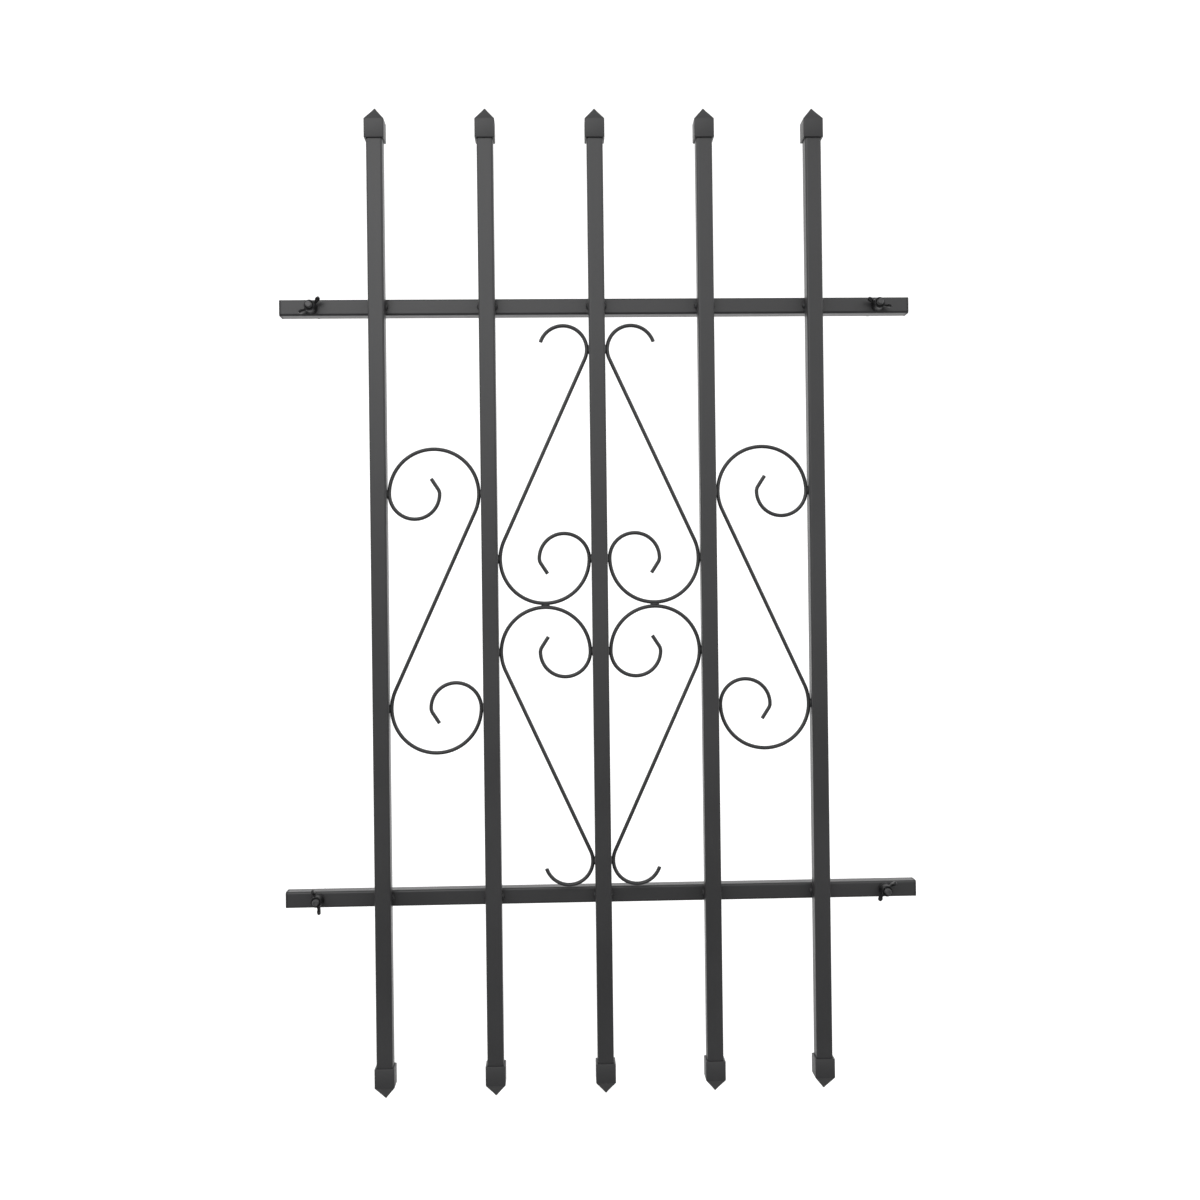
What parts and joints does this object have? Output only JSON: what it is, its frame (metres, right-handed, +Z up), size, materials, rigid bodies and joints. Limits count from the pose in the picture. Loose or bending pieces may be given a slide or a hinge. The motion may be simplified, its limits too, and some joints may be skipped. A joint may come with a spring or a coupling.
{
  "type": "window security bar",
  "caption": "Welded steel window grille: upright square bars with pointed caps on two level rails, wire scrolls between them, and wing nuts on wall studs.",
  "frame": {"origin": "centre of the four studs' rectangle, on the plane of their collars' back faces, where the grille meets the wall", "axes": "+Z up along the bars, +X to the right as seen from the room, +Y away from the room into the wall"},
  "size_m": [0.5894, 0.0617, 0.9144],
  "materials": {
    "black_powder_coat": "satin black powder coat with a fine orange-peel surface",
    "cap_powder_coat": "satin black powder coat on the pointed caps",
    "wire_powder_coat": "satin black powder coat on round wire",
    "weld_bead": "coated weld tack, uneven and a little duller than the bars",
    "black_plastic": "matte black moulded plastic",
    "black_steel": "black zinc on the studs and washers",
    "black_nut": "black zinc on the cast wing nuts"
  },
  "bodies": {
    "grille": {"bar_1": "black_powder_coat", "bar_2": "black_powder_coat", "bar_3": "black_powder_coat", "bar_4": "black_powder_coat", "bar_5": "black_powder_coat", "cap_top_1": "cap_powder_coat", "cap_top_2": "cap_powder_coat", "cap_top_3": "cap_powder_coat", "cap_top_4": "cap_powder_coat", "cap_top_5": "cap_powder_coat", "cap_bottom_1": "cap_powder_coat", "cap_bottom_2": "cap_powder_coat", "cap_bottom_3": "cap_powder_coat", "cap_bottom_4": "cap_powder_coat", "cap_bottom_5": "cap_powder_coat", "rail_top": "black_powder_coat", "rail_welds_top": "weld_bead", "rail_plug_top_left": "black_plastic", "rail_plug_top_right": "black_plastic", "rail_bottom": "black_powder_coat", "rail_welds_bottom": "weld_bead", "rail_plug_bottom_left": "black_plastic", "rail_plug_bottom_right": "black_plastic", "scroll_left": "wire_powder_coat", "scroll_right": "wire_powder_coat", "scroll_upper_left": "wire_powder_coat", "scroll_upper_right": "wire_powder_coat", "scroll_lower_left": "wire_powder_coat", "scroll_lower_right": "wire_powder_coat", "scroll_welds_outer": "weld_bead", "scroll_welds_middle": "weld_bead", "scroll_welds_meeting": "weld_bead", "stud_top_left": "black_steel", "stud_top_right": "black_steel", "stud_bottom_left": "black_steel", "stud_bottom_right": "black_steel"},
    "washer_top_left": {"washer_top_left": "black_steel"},
    "wing_nut_top_left": {"wing_nut_top_left": "black_nut"},
    "washer_top_right": {"washer_top_right": "black_steel"},
    "wing_nut_top_right": {"wing_nut_top_right": "black_nut"},
    "washer_bottom_left": {"washer_bottom_left": "black_steel"},
    "wing_nut_bottom_left": {"wing_nut_bottom_left": "black_nut"},
    "washer_bottom_right": {"washer_bottom_right": "black_steel"},
    "wing_nut_bottom_right": {"wing_nut_bottom_right": "black_nut"}
  },
  "joints": [
    {"name": "nut_turn_top_left", "type": "hinge", "parent": "grille", "child": "washer_top_left", "pos_m": [-0.265, -0.018, 0.275], "axis": [0, -1, 0], "range_deg": [0, 3960]},
    {"name": "nut_travel_top_left", "type": "slide", "parent": "washer_top_left", "child": "wing_nut_top_left", "axis": [0, -1, 0], "range_m": [0, 0.0111]},
    {"name": "nut_turn_top_right", "type": "hinge", "parent": "grille", "child": "washer_top_right", "pos_m": [0.265, -0.018, 0.275], "axis": [0, -1, 0], "range_deg": [0, 3960]},
    {"name": "nut_travel_top_right", "type": "slide", "parent": "washer_top_right", "child": "wing_nut_top_right", "axis": [0, -1, 0], "range_m": [0, 0.0111]},
    {"name": "nut_turn_bottom_left", "type": "hinge", "parent": "grille", "child": "washer_bottom_left", "pos_m": [-0.265, -0.018, -0.275], "axis": [0, -1, 0], "range_deg": [0, 3960]},
    {"name": "nut_travel_bottom_left", "type": "slide", "parent": "washer_bottom_left", "child": "wing_nut_bottom_left", "axis": [0, -1, 0], "range_m": [0, 0.0111]},
    {"name": "nut_turn_bottom_right", "type": "hinge", "parent": "grille", "child": "washer_bottom_right", "pos_m": [0.265, -0.018, -0.275], "axis": [0, -1, 0], "range_deg": [0, 3960]},
    {"name": "nut_travel_bottom_right", "type": "slide", "parent": "washer_bottom_right", "child": "wing_nut_bottom_right", "axis": [0, -1, 0], "range_m": [0, 0.0111]}
  ],
  "couplings": [
    {"joint": "nut_travel_top_left", "follows": "nut_turn_top_left", "m_per_rad": 0.00015915},
    {"joint": "nut_travel_top_right", "follows": "nut_turn_top_right", "m_per_rad": 0.00015915},
    {"joint": "nut_travel_bottom_left", "follows": "nut_turn_bottom_left", "m_per_rad": 0.00015915},
    {"joint": "nut_travel_bottom_right", "follows": "nut_turn_bottom_right", "m_per_rad": 0.00015915}
  ]
}
